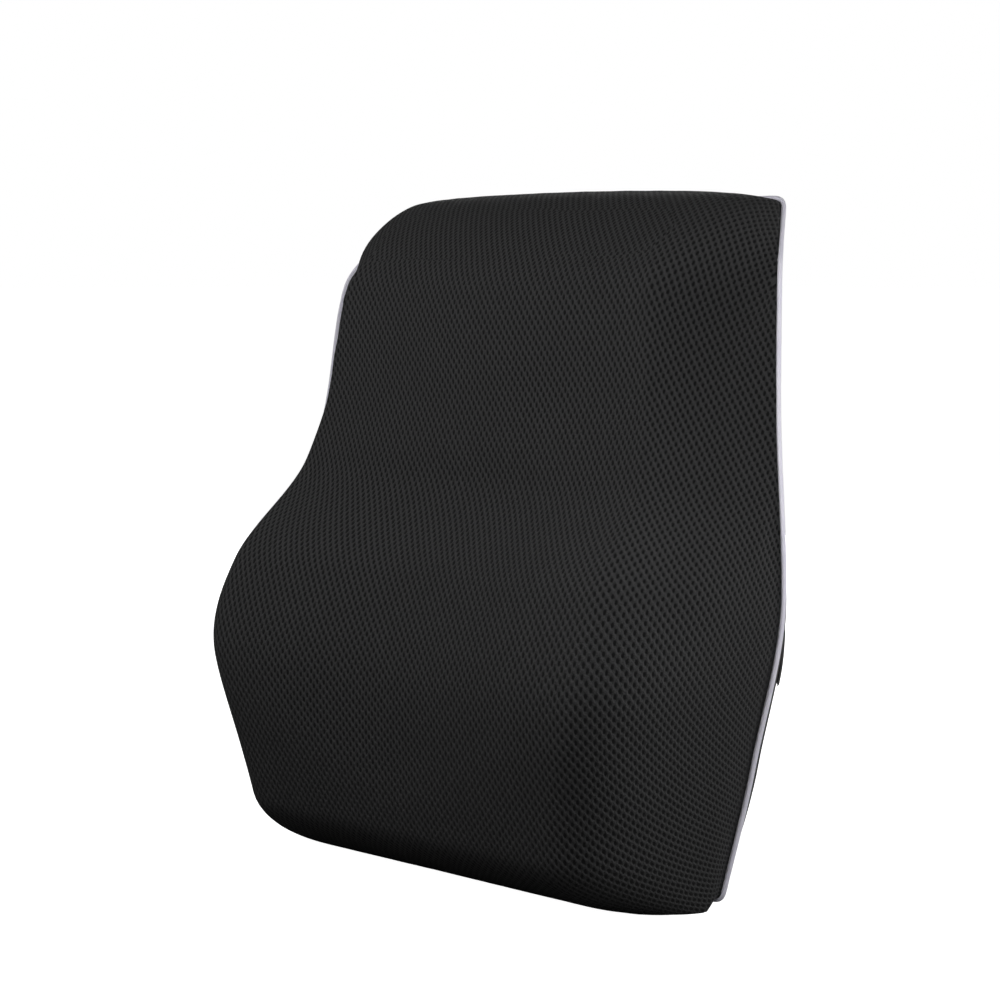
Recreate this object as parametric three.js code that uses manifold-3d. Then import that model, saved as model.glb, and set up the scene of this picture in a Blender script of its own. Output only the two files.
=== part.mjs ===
// Lumbar support cushion: a moulded foam core in a cloth liner and a zipped cover, with a piped seam
// and two buckled elastic straps across the back.
// Millimetres. +Z is up, the front that meets the sitter's back faces -Y, and X runs across.
// The origin is on the floor, at the middle of the whole object's width and depth.
import * as THREE from "three";
import Module from "manifold-3d";
import { mergeVertices } from "three/addons/utils/BufferGeometryUtils.js";

const wasm = await Module();
wasm.setup();

// ---- Overall sizes ----
const cushionHeight = 328; // floor to the crown of the top roll
const baseWidth = 253;
const hipWidth = 282;
const lumbarWidth = 314.5;
const waistWidth = 293;
const neckWidth = 282;
const topWidth = 233.5;

// ---- How far the front stands forward of the side seam, from base to top ----
const baseDepth = 73.3;
const hipDepth = 89.5;
const lumbarDepth = 97;
const ribDepth = 82.4;
const waistDepth = 47;
const neckDepth = 40;
const collarDepth = 39.4;
const topDepth = 46.5;
const lumbarDish = 11; // hollow between the two wings, at the lumbar roll
const neckCrown = 4; // how far the middle of the neck stands proud of its sides
const backDepth = 18; // how far the back panel stands behind the seam

// ---- Rolls and corners ----
const sideRoll = 41.3; // width over which the front rolls down to the side seam
const topRoll = 39.3;
const baseRoll = 30.7;
const baseFullness = 1.85; // 2 is a quarter round, more is squarer
const backBaseRoll = 24; // width over which the back panel rolls round to the side seam
const backHipRoll = 20;
const backLumbarRoll = 30;
const backNeckRoll = 70;
const backEndRoll = 60;
const topCorner = 3; // corner radii of the outline, seen from the front
const baseCorner = 2;
const seamBase = 4.6; // height of the seam at the foot of the back
const seamDrop = 6.7; // how far the seam at the top lies below the crown
const crownRise = 9.1; // swell of the top roll over its seam
const crownFall = 0.185; // share of that swell lost towards the two top corners
const crownReach = 41.5; // depth over which the crown swells and falls
const toeDrop = 8.8; // how far the sole sinks below the seam, down to the floor
const toeReach = 12;
const toeFade = 50;

// ---- Cloth layers ----
const meshThickness = 2.5; // spacer mesh of the front
const backThickness = 1.5; // plain knit of the back
const linerThickness = 1;
const layerGap = 0.5;
const backGap = 1.5; // between the back panel and the liner, which lies looser there
const seamGap = 0.5;
const pipingRadius = 1.05;
const pipingClearance = 0.35;
const pipingLean = 0.35; // how far the piping leans back along the top and the base

// ---- Zip in the back panel ----
const zipHeight = 52;
const zipLength = 170;
const zipWindow = 20; // height of the opening between the two back panels
const tapeThickness = 0.8;
const tapeLevel = -0.3; // underside of the tape, from the panel's outer face
const coilHeight = 2;
const coilThickness = 1.8;
const coilLevel = -0.4;
const coilPitch = 4;
const coilNotch = 0.7;
const coilGap = 0.8; // between the two halves of the chain
const noseWidth = 0.3; // the slider's nose, which parts the chain
const noseLength = 1.5;
const partGap = 0.3; // between neighbouring pieces that touch
const stopLength = 3;
const sliderLength = 9;
const sliderWidth = 8.6;
const sliderPlate = 1;
const sliderCorner = 1.6;
const sliderClearance = 0.3;
const bridgeHeight = 2.6; // the slider's bridge, which holds the pull
const bridgeBar = 1;
const bridgeInset = 1.8; // from the slider's end to the middle of each leg
const pullBar = 0.9;
const pullLength = 22;
const pullWidth = 5;
const pullThickness = 1.2;
const pullArm = 1;
const sunkDepth = 0.1; // how far one block of a moulding reaches into the next

// ---- Straps, buckles and adjusters ----
const strapHeights = { upper: 236, lower: 116 };
const strapWidth = 25;
const strapThickness = 1.5;
const strapLift = 0.9; // between a strap and the back panel, out at the side
const buckleThickness = 7.6;
const buckleWall = 1.6;
const buckleRest = 0.6; // gap between a buckle and the back panel
const buckleWidth = strapWidth + 9;
const buckleCorner = 3;
const socketLength = 32;
const cavityDepth = 21;
const plugLength = 18;
const tongueLength = 15;
const tongueWidth = 5;
const armLength = 17;
const armWidth = 2.7;
const armPlace = 10.8; // of each arm's pivot, from the buckle's middle
const armPivot = 1.4; // how far the pivot lies in front of the plug
const headLength = 7;
const adjusterPlace = 46; // near edge of the adjuster, from the buckle's parting line
const adjusterLength = 15;
const adjusterBar = 3;
const adjusterRail = 3;
const adjusterThickness = 1.6;
const adjusterCorner = 1.5;
const strapSettle = 24; // length over which a strap comes down to the back panel
const strapInset = 5; // from the side seam to the strap's sewn end
const mouthDepth = 8; // how far a strap's end reaches into its buckle
const fitGap = 0.4;

// ---- Care label ----
const labelWidth = 22;
const labelLength = 26;
const labelThickness = 0.6;
const labelPlace = 104; // its outer edge, from the middle of the back
const labelHeight = 84;
const labelLift = 0.5;

// ---- How finely the soft pieces are faceted ----
const cellsAcross = 16;
const baseCells = 6;
const middleCells = 9;
const topCells = 5;
const pipingSides = 8;
const strapSteps = 18;
const bandRows = 4; // rows of facets over the width of a strap or the label
const labelSteps = 4;
const leanStep = 10; // height over which the back panel's lean is measured
const cutReach = 30; // how far the zip's window is cut, in front of and behind the panel

const finishes = {
  foam: { color: 0xe9dfb8, roughness: 0.95 },
  liner: { color: 0xd9d9d6, roughness: 0.95 },
  mesh: { color: 0x1c1c1d, roughness: 0.85 },
  backCloth: { color: 0x19191b, roughness: 0.9 },
  piping: { color: 0xe4e1ee, roughness: 0.6 },
  tape: { color: 0x161617, roughness: 0.9 },
  coil: { color: 0x101011, roughness: 0.5 },
  metal: { color: 0x2b2b2e, roughness: 0.35, metalness: 0.9 },
  webbing: { color: 0x151516, roughness: 0.85 },
  plastic: { color: 0x121213, roughness: 0.4 },
  label: { color: 0xf1f1ee, roughness: 0.7 },
};

// ---------------------------------------------------------------- shared shapes

// A smooth curve through [place, value] pairs that never overshoots them.
function smoothCurve(points) {
  const rise = (i) => (points[i + 1][1] - points[i][1]) / (points[i + 1][0] - points[i][0]);
  const last = points.length - 1;
  const slopes = points.map((_, i) => {
    if (i === 0) return rise(0);
    if (i === last) return rise(last - 1);
    const [before, after] = [rise(i - 1), rise(i)];
    return before * after <= 0 ? 0 : (2 * before * after) / (before + after);
  });
  return (place) => {
    let i = 0;
    while (i < last - 1 && place > points[i + 1][0]) i++;
    const span = points[i + 1][0] - points[i][0];
    const t = (place - points[i][0]) / span;
    const ease = t * t * (3 - 2 * t);
    const out = t * (1 - t) * (1 - t);
    const into = t * t * (t - 1);
    const bend = span * (slopes[i] * out + slopes[i + 1] * into);
    return points[i][1] * (1 - ease) + points[i + 1][1] * ease + bend;
  };
}

const halfWidthAt = smoothCurve([
  [0, baseWidth / 2],
  [0.2, hipWidth / 2],
  [0.45, lumbarWidth / 2],
  [0.7, waistWidth / 2],
  [0.87, neckWidth / 2],
  [1, topWidth / 2],
]);

// Where the side seam runs, front to back.
const seamAt = smoothCurve([
  [0, -12.1],
  [0.2, -8.6],
  [0.45, -9.1],
  [0.7, -0.2],
  [0.87, 6.7],
  [1, 41.6],
]);

const depthAt = smoothCurve([
  [0, baseDepth],
  [0.15, hipDepth],
  [0.3, lumbarDepth],
  [0.45, ribDepth],
  [0.6, waistDepth],
  [0.75, neckDepth],
  [0.87, collarDepth],
  [1, topDepth],
]);

// How much lower the middle lies than the wings; negative where it is crowned.
const dishAt = smoothCurve([
  [0, 0],
  [0.15, lumbarDish * 0.3],
  [0.35, lumbarDish],
  [0.5, lumbarDish],
  [0.65, 0],
  [0.8, -neckCrown],
  [1, 0],
]);

// How square the side roll is: 2 is a quarter round, 1 a straight bevel, less a scooped one.
const fullnessAt = smoothCurve([
  [0, 2.2],
  [0.3, 2.3],
  [0.5, 1.3],
  [0.7, 0.91],
  [0.85, 0.73],
  [1, 2.06],
]);

// Width over which the back panel rolls round to the side seam.
const backSideRollAt = smoothCurve([
  [0, backBaseRoll],
  [0.15, backHipRoll],
  [0.27, backHipRoll],
  [0.42, backLumbarRoll],
  [0.65, backNeckRoll],
  [1, backNeckRoll],
]);

const clamp = (t) => Math.min(Math.max(t, 0), 1);
const smoothStep = (t) => clamp(t) * clamp(t) * (3 - 2 * clamp(t));
const rollOff = (t, fullness) => (1 - (1 - clamp(t)) ** fullness) ** (1 / fullness);
const cornerTrim = (distance, radius) => {
  const t = clamp(1 - distance / radius);
  return radius * (1 - Math.sqrt(1 - t * t));
};

const halfOutline = (up) =>
  halfWidthAt(up) -
  cornerTrim((1 - up) * cushionHeight, topCorner) -
  cornerTrim(up * cushionHeight, baseCorner);

function frontDepth(across, up) {
  const fromSide = halfOutline(up) * (1 - Math.abs(across));
  const wing = smoothStep(Math.abs(across) / 0.7);
  const full = depthAt(up) - dishAt(up) * (1 - wing);
  return (
    full *
    rollOff(fromSide / sideRoll, fullnessAt(up)) *
    rollOff(((1 - up) * cushionHeight) / topRoll, 2) *
    rollOff((up * cushionHeight) / baseRoll, baseFullness)
  );
}

function backBulge(across, up) {
  const fromSide = halfOutline(up) * (1 - Math.abs(across));
  return (
    backDepth *
    rollOff(fromSide / backSideRollAt(up), 2) *
    rollOff(((1 - up) * cushionHeight) / backEndRoll, 2) *
    rollOff((up * cushionHeight) / backEndRoll, 2)
  );
}

const seamSpan = cushionHeight - seamDrop - seamBase;
const shareUp = (height) => (height - seamBase) / seamSpan;
const seamLine = (height) => seamAt(shareUp(height));

// Height of the seam at a share of the way up, in the layer that lies `inset` under the outside.
const seamHeight = (up, inset) => seamBase + inset + up * (seamSpan - 2 * inset);

// A point of the front half of the layer that lies `inset` under the outside.
function frontPoint(across, up, inset) {
  const depth = (frontDepth(across, up) * (depthAt(up) - inset)) / depthAt(up);
  const swell = clamp(depth / crownReach);
  const level = 1 - crownFall * smoothStep(Math.abs(across));
  const crown = crownRise * level * 4 * swell * (1 - swell) * smoothStep((up - 0.8) / 0.2);
  const toe = toeDrop * smoothStep(depth / toeReach) * (1 - smoothStep((up * cushionHeight) / toeFade));
  const height = seamHeight(up, inset);
  return new THREE.Vector3(
    across * (halfOutline(up) - inset),
    seamLine(height) - seamGap / 2 - depth,
    Math.max(inset, height + crown - toe),
  );
}

// A point of the back half of such a layer.
function backPoint(across, up, inset) {
  const depth = (backBulge(across, up) * (backDepth - inset)) / backDepth;
  const height = seamHeight(up, inset);
  const x = across * (halfOutline(up) - inset);
  return new THREE.Vector3(x, seamLine(height) + seamGap / 2 + depth, height);
}

// The back panel's outer face, front to back, at a place across and a height.
function backFace(x, z) {
  const up = shareUp(z);
  return backPoint(x / halfOutline(up), up, 0).y;
}

// How far the back panel leans away from upright at a height.
function leanAt(height) {
  const rise = backFace(0, height + leanStep) - backFace(0, height - leanStep);
  return Math.atan2(rise, 2 * leanStep);
}

// ---------------------------------------------------------------- mesh helpers

// A closed solid between two grids of points with the same rows, which run up, and columns, which
// run left to right. The first grid is the face towards the front.
function solidBetween(front, rear) {
  const rows = front.length;
  const columns = front[0].length;
  const points = [...front.flat(), ...rear.flat()];
  const faces = [];
  const quad = (a, b, c, d) => faces.push(a, b, c, a, c, d);
  const id = (row, column) => row * columns + column;
  const behind = rows * columns;
  for (let r = 0; r < rows - 1; r++) {
    for (let c = 0; c < columns - 1; c++) {
      quad(id(r, c), id(r, c + 1), id(r + 1, c + 1), id(r + 1, c));
      quad(behind + id(r, c), behind + id(r + 1, c), behind + id(r + 1, c + 1), behind + id(r, c + 1));
    }
  }
  const rim = gridRim(rows, columns).map(([r, c]) => id(r, c));
  rim.forEach((here, i) => {
    const next = rim[(i + 1) % rim.length];
    quad(here, behind + here, behind + next, next);
  });
  return meshOf(points, faces);
}

// The border of a grid as [row, column] pairs, once round.
function gridRim(rows, columns) {
  const rim = [];
  for (let c = 0; c < columns - 1; c++) rim.push([0, c]);
  for (let r = 0; r < rows - 1; r++) rim.push([r, columns - 1]);
  for (let c = columns - 1; c > 0; c--) rim.push([rows - 1, c]);
  for (let r = rows - 1; r > 0; r--) rim.push([r, 0]);
  return rim;
}

function meshOf(points, faces) {
  const geometry = new THREE.BufferGeometry().setFromPoints(points);
  geometry.setIndex(faces);
  return geometry;
}

function toSolid(geometry) {
  const bare = geometry.clone();
  for (const name of Object.keys(bare.attributes)) if (name !== "position") bare.deleteAttribute(name);
  const merged = mergeVertices(bare, 1e-4);
  return new wasm.Manifold(
    new wasm.Mesh({
      numProp: 3,
      vertProperties: new Float32Array(merged.attributes.position.array),
      triVerts: new Uint32Array(merged.index.array),
    }),
  );
}

function fromSolid(solid) {
  const mesh = solid.getMesh();
  const geometry = new THREE.BufferGeometry();
  geometry.setAttribute("position", new THREE.BufferAttribute(new Float32Array(mesh.vertProperties), 3));
  geometry.setIndex(new THREE.BufferAttribute(new Uint32Array(mesh.triVerts), 1));
  return geometry;
}

const cut = (body, ...tools) =>
  fromSolid(tools.reduce((solid, tool) => solid.subtract(toSolid(tool)), toSolid(body)));

const join = (body, ...others) =>
  fromSolid(others.reduce((solid, other) => solid.add(toSolid(other)), toSolid(body)));

// A box from its lowest to its highest corner.
function block(low, high) {
  const size = high.map((h, i) => h - low[i]);
  const middle = high.map((h, i) => (h + low[i]) / 2);
  return new THREE.BoxGeometry(...size).translate(...middle);
}

// A plate with rounded corners in X and Z, from y = low to y = high.
function roundedPlate(left, right, bottom, top, low, high, radius) {
  const shape = new THREE.Shape();
  shape.moveTo(left + radius, bottom);
  shape.lineTo(right - radius, bottom);
  shape.absarc(right - radius, bottom + radius, radius, -Math.PI / 2, 0);
  shape.lineTo(right, top - radius);
  shape.absarc(right - radius, top - radius, radius, 0, Math.PI / 2);
  shape.lineTo(left + radius, top);
  shape.absarc(left + radius, top - radius, radius, Math.PI / 2, Math.PI);
  shape.lineTo(left, bottom + radius);
  shape.absarc(left + radius, bottom + radius, radius, Math.PI, 1.5 * Math.PI);
  return flatPlate(shape, low, high);
}

// A shape drawn in X and Z, given thickness from y = low to y = high.
function flatPlate(shape, low, high) {
  const options = { depth: high - low, bevelEnabled: false, curveSegments: 4 };
  return new THREE.ExtrudeGeometry(shape, options).rotateX(Math.PI / 2).translate(0, high, 0);
}

function polygon(corners) {
  return new THREE.Shape(corners.map(([x, z]) => new THREE.Vector2(x, z)));
}

function piece(name, geometry, finish) {
  const mesh = new THREE.Mesh(geometry, new THREE.MeshStandardMaterial(finishes[finish]));
  mesh.name = name;
  return mesh;
}

// ---------------------------------------------------------------- soft body

const placesAcross = Array.from({ length: cellsAcross + 1 }, (_, i) =>
  Math.sin(((2 * i) / cellsAcross - 1) * (Math.PI / 2)),
);

// Rows of points up the cushion, closer together where its base and its top roll over.
const baseShare = baseRoll / cushionHeight;
const topShare = topRoll / cushionHeight;
const placesUp = [];
for (let j = 0; j < baseCells; j++) placesUp.push(baseShare * (j / baseCells) ** 3);
const middleShare = 1 - baseShare - topShare;
for (let j = 0; j < middleCells; j++) placesUp.push(baseShare + (middleShare * j) / middleCells);
for (let j = topCells; j >= 0; j--) placesUp.push(1 - topShare * (j / topCells) ** 2);

const gridOf = (pointAt, inset) =>
  placesUp.map((up) => placesAcross.map((across) => pointAt(across, up, inset)));
const frontGrid = (inset) => gridOf(frontPoint, inset);
const backGrid = (inset) => gridOf(backPoint, inset);

// The two halves of a layer of cloth that meet at the side seam.
const frontShell = (inset, thickness) => solidBetween(frontGrid(inset), frontGrid(inset + thickness));
const backShell = (inset, thickness) => solidBetween(backGrid(inset + thickness), backGrid(inset));

// The piping follows the seam, just outside it.
function pipingLoop() {
  const rows = placesUp.length;
  const columns = placesAcross.length;
  const seam = gridRim(rows, columns).map(([r, c]) => {
    const point = frontPoint(placesAcross[c], placesUp[r], 0);
    return point.setY(seamAt(placesUp[r]));
  });
  const far = (a, b) => a.distanceTo(b) > pipingRadius;
  const loop = seam.filter((point, i) => i === 0 || far(point, seam[i - 1]));
  const path = loop.map((point, i) => {
    const before = loop[(i + loop.length - 1) % loop.length];
    const after = loop[(i + 1) % loop.length];
    const outward = new THREE.Vector3(after.z - before.z, 0, before.x - after.x).normalize();
    outward.y = pipingLean * Math.abs(outward.z);
    return point.clone().addScaledVector(outward.normalize(), pipingRadius + pipingClearance);
  });
  return closedTube(path, pipingRadius, pipingSides);
}

// A tube of round section round a closed path that lies mostly in one upright plane.
function closedTube(path, radius, sides) {
  const points = [];
  const faces = [];
  path.forEach((centre, i) => {
    const before = path[(i + path.length - 1) % path.length];
    const after = path[(i + 1) % path.length];
    const along = after.clone().sub(before).normalize();
    const level = new THREE.Vector3(0, 1, 0).addScaledVector(along, -along.y).normalize();
    const outward = new THREE.Vector3().crossVectors(along, level);
    for (let k = 0; k < sides; k++) {
      const turn = (2 * Math.PI * k) / sides;
      points.push(
        centre
          .clone()
          .addScaledVector(level, radius * Math.cos(turn))
          .addScaledVector(outward, radius * Math.sin(turn)),
      );
    }
  });
  for (let i = 0; i < path.length; i++) {
    const next = (i + 1) % path.length;
    for (let k = 0; k < sides; k++) {
      const side = (k + 1) % sides;
      const [a, b, c, d] = [i * sides + k, i * sides + side, next * sides + side, next * sides + k];
      faces.push(a, b, c, a, c, d);
    }
  }
  return meshOf(points, faces);
}

// ---------------------------------------------------------------- frames on the back

// A group whose origin lies on the back panel at x = 0: its +Y points straight out of the panel,
// its +Z up the panel, and its X stays across.
function frameOnBack(height) {
  const frame = new THREE.Group();
  frame.position.set(0, backFace(0, height), height);
  frame.rotation.x = -leanAt(height);
  return frame;
}

// ---------------------------------------------------------------- zip

const zipEnd = zipLength / 2;
const coilTop = coilLevel + coilThickness;
const coilFar = coilGap / 2 + coilHeight;
const tapeNear = coilFar + partGap;
const tapeFar = zipWindow / 2 - partGap;

// What is cut away from each back panel: everything past the hairline between them, and the zip's window.
function backPanel(side) {
  const frame = frameOnBack(zipHeight);
  frame.updateMatrix();
  const reach = cushionHeight;
  const [low, high] = side > 0 ? [-reach, seamGap / 2] : [-seamGap / 2, reach];
  const beyond = block([-reach, -reach, low], [reach, reach, high]);
  const end = zipEnd + partGap;
  const window = block([-end, -cutReach, -zipWindow / 2], [end, cutReach, zipWindow / 2]);
  const shell = backShell(0, backThickness);
  return cut(shell, beyond.applyMatrix4(frame.matrix), window.applyMatrix4(frame.matrix));
}

// One half of the zip's chain, a toothed strip.
function coil(side) {
  const teeth = Math.floor((zipLength - 2 * stopLength - 2 * partGap) / coilPitch);
  const start = (-teeth * coilPitch) / 2;
  const inner = (side * coilGap) / 2;
  const notch = inner + side * coilNotch;
  const outer = side * coilFar;
  const corners = [[start, outer]];
  for (let i = 0; i < teeth; i++) {
    const left = start + i * coilPitch;
    const middle = left + coilPitch / 2;
    corners.push([left, inner], [middle, inner], [middle, notch], [left + coilPitch, notch]);
  }
  corners.push([start + teeth * coilPitch, outer]);
  return flatPlate(polygon(corners), coilLevel, coilTop);
}

function tape(side) {
  const [low, high] = side > 0 ? [tapeNear, tapeFar] : [-tapeFar, -tapeNear];
  return block([-zipEnd, tapeLevel, low], [zipEnd, tapeLevel + tapeThickness, high]);
}

function zipStop(side) {
  const [near, far] = [side * (zipEnd - stopLength), side * zipEnd];
  return block([Math.min(near, far), coilLevel, -coilFar], [Math.max(near, far), coilTop, coilFar]);
}

// The slider: two plates joined by a thin nose that parts the chain, two flanges, and a bridge on top.
const sliderFloor = coilLevel - sliderClearance - sliderPlate;
const sliderRoof = coilTop + sliderClearance + sliderPlate;
const sliderRest = -(zipEnd - stopLength - partGap - sliderLength / 2);
const legPlace = sliderLength / 2 - bridgeInset;

function zipSlider() {
  const half = sliderLength / 2;
  const wide = sliderWidth / 2;
  const plate = (low) => roundedPlate(-half, half, -wide, wide, low, low + sliderPlate, sliderCorner);
  const [noseLow, noseHigh] = [sliderFloor + sunkDepth, sliderRoof - sunkDepth];
  const nose = block([-half, noseLow, -noseWidth / 2], [-half + noseLength, noseHigh, noseWidth / 2]);
  const flangeLow = tapeLevel + tapeThickness + sliderClearance;
  const flangeNear = coilFar + sliderClearance;
  const flangeEnd = half - sliderCorner;
  const beamTop = sliderRoof + bridgeHeight;
  const parts = [plate(sliderFloor), nose];
  for (const side of [-1, 1]) {
    const [near, far] = side > 0 ? [flangeNear, wide] : [-wide, -flangeNear];
    parts.push(block([-flangeEnd, flangeLow, near], [flangeEnd, sliderRoof - sunkDepth, far]));
    const [left, right] = [side * legPlace - bridgeBar / 2, side * legPlace + bridgeBar / 2];
    parts.push(block([left, sliderRoof - 2 * sunkDepth, -bridgeBar], [right, beamTop, bridgeBar]));
  }
  const beamEnd = legPlace + bridgeBar / 2;
  parts.push(block([-beamEnd, beamTop - bridgeBar, -bridgeBar], [beamEnd, beamTop, bridgeBar]));
  return join(plate(sliderRoof - sliderPlate), ...parts);
}

// The pull, drawn about its pivot: a cross bar in the bridge, two arms round the bridge, and a tab.
function zipPull() {
  const bar = pullBar / 2;
  const armNear = bridgeBar + sliderClearance;
  const armFar = armNear + pullArm;
  const tabStart = legPlace + bridgeBar + pullArm;
  const armEnd = tabStart + pullArm;
  const thick = pullThickness / 2;
  const arms = [
    block([-bar, -bar, -armFar], [armEnd, bar, -armNear]),
    block([-bar, -bar, armNear], [armEnd, bar, armFar]),
  ];
  const tab = roundedPlate(tabStart, pullLength, -pullWidth / 2, pullWidth / 2, -thick, thick, pullArm);
  return join(block([-bar, -bar, -armFar], [bar, bar, armFar]), ...arms, tab);
}

function zip() {
  const frame = frameOnBack(zipHeight);
  const sides = { lower: -1, upper: 1 };
  for (const [name, side] of Object.entries(sides)) {
    frame.add(piece(`zip_tape_${name}`, tape(side), "tape"));
    frame.add(piece(`zip_coil_${name}`, coil(side), "coil"));
  }
  frame.add(piece("zip_stop_closed", zipStop(-1), "metal"));
  frame.add(piece("zip_stop_open", zipStop(1), "metal"));
  const slider = piece("zip_slider", zipSlider(), "metal");
  slider.position.x = sliderRest;
  const pull = piece("zip_pull", zipPull(), "metal");
  pull.position.set(sliderRest, sliderRoof + (bridgeHeight - bridgeBar) / 2, 0);
  frame.add(slider, pull);
  return frame;
}

// ---------------------------------------------------------------- straps and buckles

const buckleMiddle = buckleRest + buckleThickness / 2;
const plugStart = fitGap;
const strapLevel = buckleMiddle - strapThickness / 2;
const slotHalf = strapThickness / 2 + fitGap;

// How far a strap's underside stands off the back panel at a distance from the middle of the back.
function strapStandOff(x) {
  const beyond = (Math.abs(x) - adjusterPlace - adjusterLength) / strapSettle;
  return strapLevel + (strapLift - strapLevel) * smoothStep(beyond);
}

// A band of cloth that follows the back panel through a list of places across it, left to right.
function band(places, height, width, thickness, standOff) {
  const lean = leanAt(height);
  const half = (width / 2) * Math.cos(lean);
  const point = (x, z, off) =>
    new THREE.Vector3(x, backFace(x, z) + off * Math.cos(lean), z - off * Math.sin(lean));
  const heights = Array.from({ length: bandRows + 1 }, (_, i) => height + half * ((2 * i) / bandRows - 1));
  const grid = (lift) => heights.map((z) => places.map((x) => point(x, z, standOff(x) + lift)));
  return solidBetween(grid(0), grid(thickness));
}

// A strap from its buckle out to the side seam, where its steps are closer together.
function strap(side, height) {
  const inner = fitGap - mouthDepth + (side < 0 ? socketLength : plugStart + plugLength);
  const outer = halfOutline(shareUp(height)) - strapInset;
  const place = (i) => side * (inner + (outer - inner) * Math.sin((Math.PI / 2) * (i / strapSteps)));
  const places = Array.from({ length: strapSteps + 1 }, (_, i) => place(side < 0 ? strapSteps - i : i));
  return band(places, height, strapWidth, strapThickness, strapStandOff);
}

function buckleBody(left, right) {
  const half = buckleWidth / 2;
  return roundedPlate(left, right, -half, half, buckleRest, buckleRest + buckleThickness, buckleCorner);
}

const strapSlot = (left, right) => {
  const half = strapWidth / 2 + fitGap;
  return block([left, buckleMiddle - slotHalf, -half], [right, buckleMiddle + slotHalf, half]);
};

function socket() {
  const inside = buckleWidth / 2 - buckleWall;
  const [floor, roof] = [buckleRest + buckleWall, buckleRest + buckleThickness - buckleWall];
  const cavity = block([-cavityDepth, floor, -inside], [1, roof, inside]);
  const windows = block(
    [-armLength, floor, -buckleWidth],
    [-armLength + headLength + 2 * fitGap, roof, buckleWidth],
  );
  const mouth = strapSlot(-socketLength - 1, -socketLength + mouthDepth);
  return cut(buckleBody(-socketLength, 0), cavity, windows, mouth);
}

function plug() {
  const end = plugStart + plugLength;
  const tongue = block(
    [-tongueLength, buckleMiddle - slotHalf, -tongueWidth / 2],
    [plugStart + 1, buckleMiddle + slotHalf, tongueWidth / 2],
  );
  const solid = toSolid(buckleBody(plugStart, end)).subtract(toSolid(strapSlot(end - mouthDepth, end + 1)));
  return fromSolid(solid.add(toSolid(tongue)));
}

// A release arm, drawn about its pivot at the plug: a stem with a catch head near its tip.
function releaseArm(side) {
  const inside = buckleWidth / 2 - buckleWall - fitGap - armPlace;
  const tip = -armLength + fitGap + armPivot;
  const headEnd = tip + headLength;
  const shape = [
    [armPivot - partGap, -armWidth / 2],
    [armPivot - partGap, armWidth / 2],
    [headEnd, armWidth / 2],
    [headEnd, inside],
    [tip + headLength / 2, inside],
    [tip, 0],
    [tip, -armWidth / 2],
  ];
  const half = buckleThickness / 2 - buckleWall - fitGap;
  const outline = polygon(shape.map(([x, z]) => [x, side * z]));
  return flatPlate(outline, buckleMiddle - half, buckleMiddle + half);
}

// The adjuster: two rails beside the strap, with three bars across its outer face.
function adjuster() {
  const half = adjusterLength / 2;
  const [inner, outer] = [strapWidth / 2 + fitGap, strapWidth / 2 + fitGap + adjusterRail];
  const low = strapLevel + strapThickness + fitGap;
  const top = low + adjusterThickness;
  const frame = roundedPlate(-half, half, -outer, outer, strapLevel - fitGap, top, adjusterCorner);
  const channel = block([-half - 1, strapLevel - fitGap - 1, -inner], [half + 1, low, inner]);
  const opening = (adjusterLength - 3 * adjusterBar) / 2;
  const slots = [-1, 1].map((side) => {
    const middle = (side * (adjusterBar + opening)) / 2;
    return block([middle - opening / 2, low - 1, -inner], [middle + opening / 2, top + 1, inner]);
  });
  return cut(frame, channel, ...slots);
}

function strapSet(name, height) {
  const set = new THREE.Group();
  set.add(piece(`${name}_strap_left`, strap(-1, height), "webbing"));
  set.add(piece(`${name}_strap_right`, strap(1, height), "webbing"));
  const frame = frameOnBack(height);
  frame.add(piece(`${name}_buckle_socket`, socket(), "plastic"));
  frame.add(piece(`${name}_buckle_plug`, plug(), "plastic"));
  for (const [place, side] of [["low", -1], ["high", 1]]) {
    const arm = piece(`${name}_release_arm_${place}`, releaseArm(side), "plastic");
    arm.position.set(plugStart - armPivot, 0, side * armPlace);
    frame.add(arm);
  }
  const glide = piece(`${name}_adjuster`, adjuster(), "plastic");
  glide.position.x = -adjusterPlace - adjusterLength / 2;
  frame.add(glide);
  set.add(frame);
  return set;
}

function careLabel() {
  const place = (i) => labelPlace - labelWidth * (1 - i / labelSteps);
  const places = Array.from({ length: labelSteps + 1 }, (_, i) => place(i));
  return band(places, labelHeight, labelLength, labelThickness, () => labelLift);
}

// ---------------------------------------------------------------- the whole cushion

function cushion() {
  const whole = new THREE.Group();
  const linerFront = meshThickness + layerGap;
  const linerBack = backThickness + backGap;
  const underLiner = linerThickness + layerGap;
  const foam = solidBetween(frontGrid(linerFront + underLiner), backGrid(linerBack + underLiner));
  whole.add(piece("foam_core", foam, "foam"));
  whole.add(piece("liner_front", frontShell(linerFront, linerThickness), "liner"));
  whole.add(piece("liner_back", backShell(linerBack, linerThickness), "liner"));
  whole.add(piece("cover_front", frontShell(0, meshThickness), "mesh"));
  whole.add(piece("cover_back_upper", backPanel(1), "backCloth"));
  whole.add(piece("cover_back_lower", backPanel(-1), "backCloth"));
  whole.add(piece("piping", pipingLoop(), "piping"));
  whole.add(piece("care_label", careLabel(), "label"));
  whole.add(zip());
  for (const [name, height] of Object.entries(strapHeights)) whole.add(strapSet(name, height));
  return whole;
}

// The cushion, moved so that the origin lies under the middle of its width and depth.
const group = new THREE.Group();
const whole = cushion();
group.add(whole);
const extent = new THREE.Box3().setFromObject(whole, true);
whole.position.y = -(extent.min.y + extent.max.y) / 2;

export default group;
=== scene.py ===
import math

import bpy
import numpy as np
from mathutils import Matrix, Vector, noise


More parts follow.
